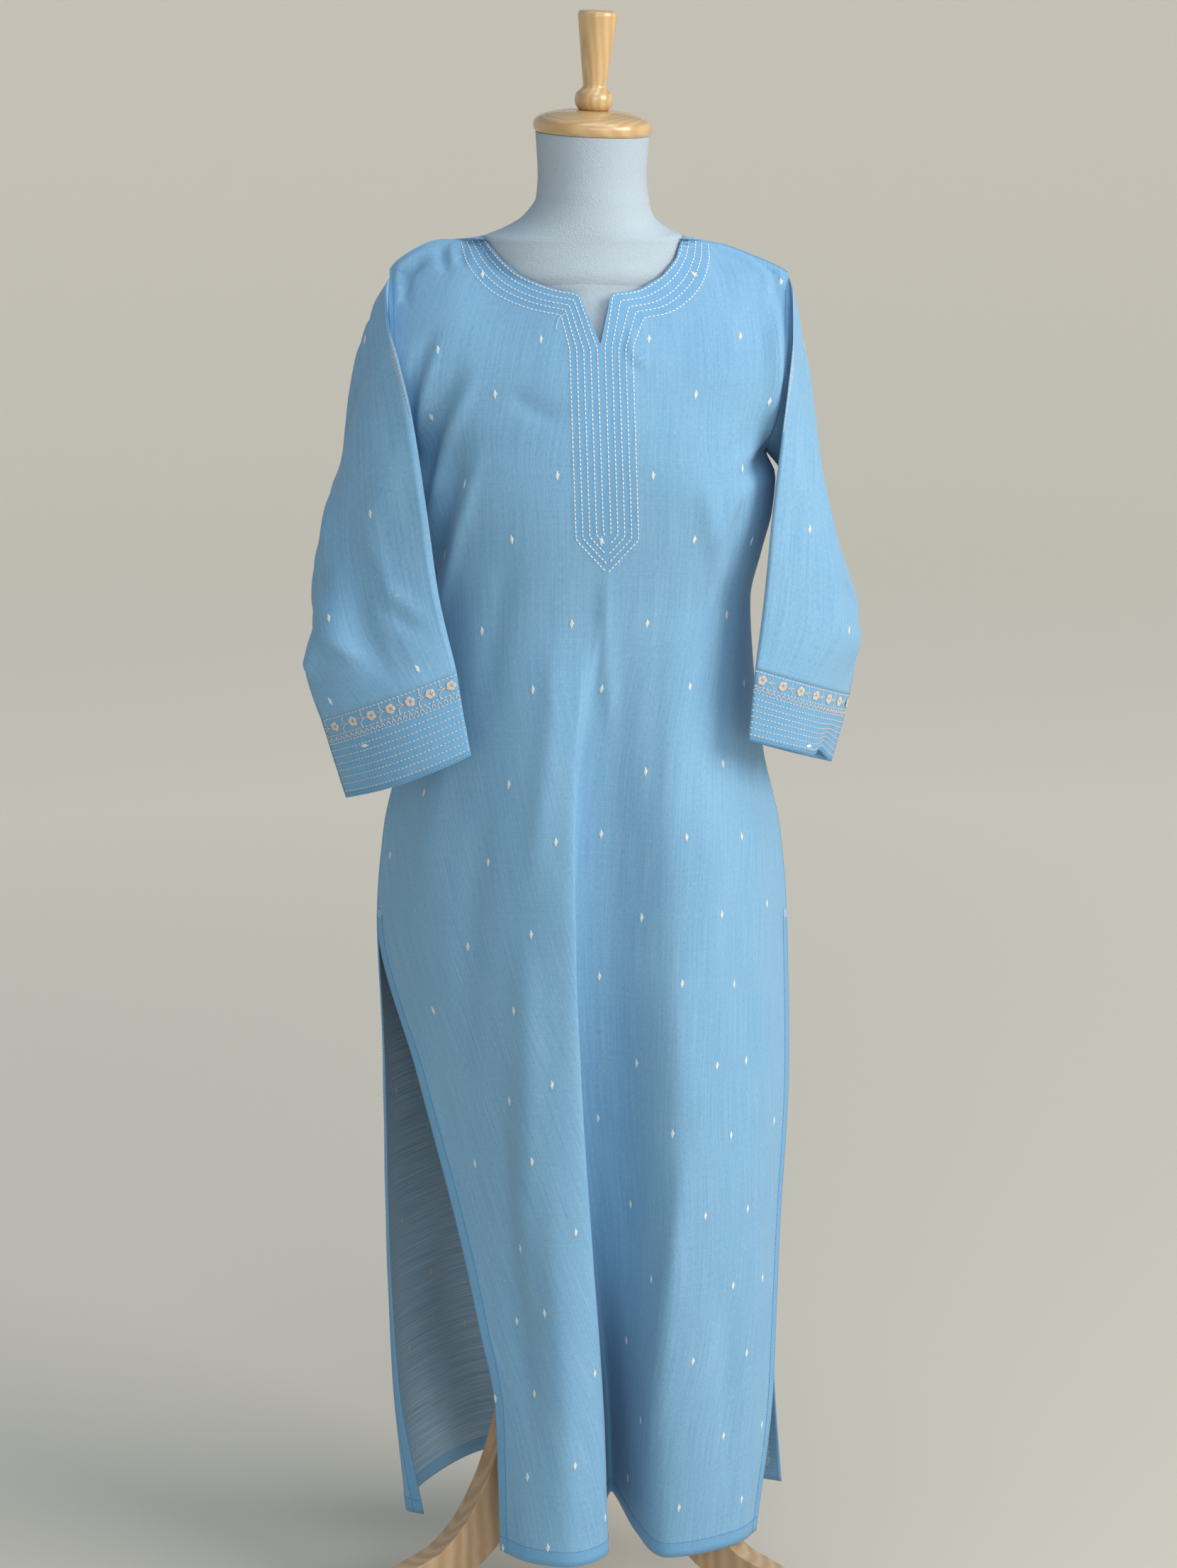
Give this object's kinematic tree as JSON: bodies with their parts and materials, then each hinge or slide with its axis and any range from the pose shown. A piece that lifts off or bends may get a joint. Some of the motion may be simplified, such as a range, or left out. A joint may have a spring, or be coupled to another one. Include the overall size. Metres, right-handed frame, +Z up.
{
  "type": "straight kurta on a dress form with a wooden stand",
  "caption": "Straight calf-length cotton kurta with a notched round neck, side slits and cuffed sleeves, worn by a limbless dress form with a turned cap and handle on a wooden tripod stand.",
  "frame": {"origin": "middle of the footprint on the floor", "axes": "+Z up, -Y the garment's front, +X to the right as seen from the front"},
  "size_m": [0.5423, 0.4683, 1.6087],
  "materials": {
    "kurta": "light blue chambray cotton with small woven ivory motifs",
    "form": "pale grey fine suede-like cover",
    "turned_wood": "light wood, glossy varnish",
    "stand_wood": "light wood, satin"
  },
  "bodies": {
    "root": {"front_panel": "kurta", "back_panel": "kurta", "sleeve_left": "kurta", "sleeve_right": "kurta", "cuff_left": "kurta", "cuff_right": "kurta", "dress_form": "form", "neck_cap": "turned_wood", "handle": "turned_wood", "pole": "stand_wood", "stand_hub": "stand_wood", "leg_front_left": "stand_wood", "leg_front_right": "stand_wood", "leg_back": "stand_wood"}
  },
  "joints": []
}
